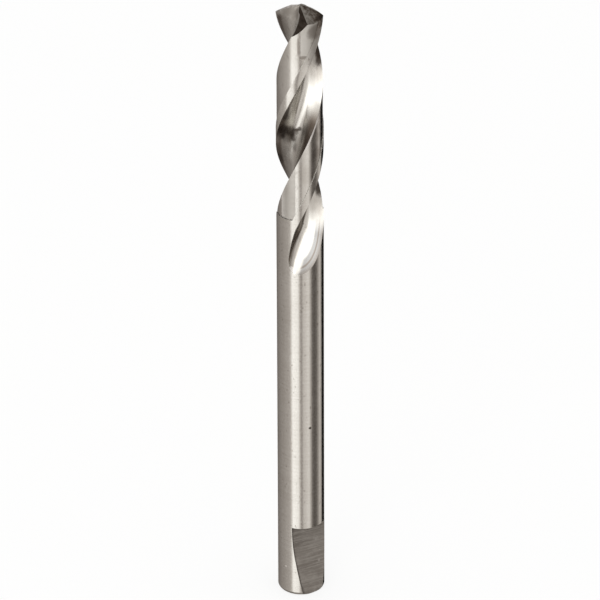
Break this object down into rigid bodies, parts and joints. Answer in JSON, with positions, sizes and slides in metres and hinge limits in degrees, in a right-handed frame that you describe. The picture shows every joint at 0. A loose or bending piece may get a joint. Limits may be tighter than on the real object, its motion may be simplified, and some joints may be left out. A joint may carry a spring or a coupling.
{
  "type": "center drill bit",
  "caption": "Right-hand twist drill with a split point, a short fluted length, a plain round shank and an inclined set-screw flat at its end.",
  "frame": {"origin": "centre of the shank's flat end face, on the drill's axis", "axes": "+Z along the drill's axis towards the cutting point; -Y is the side that the inclined set-screw flat faces"},
  "size_m": [0.0064, 0.0064, 0.0889],
  "materials": {
    "steel": "bright ground"
  },
  "bodies": {
    "root": {"center_drill_bit": "steel"}
  },
  "joints": []
}
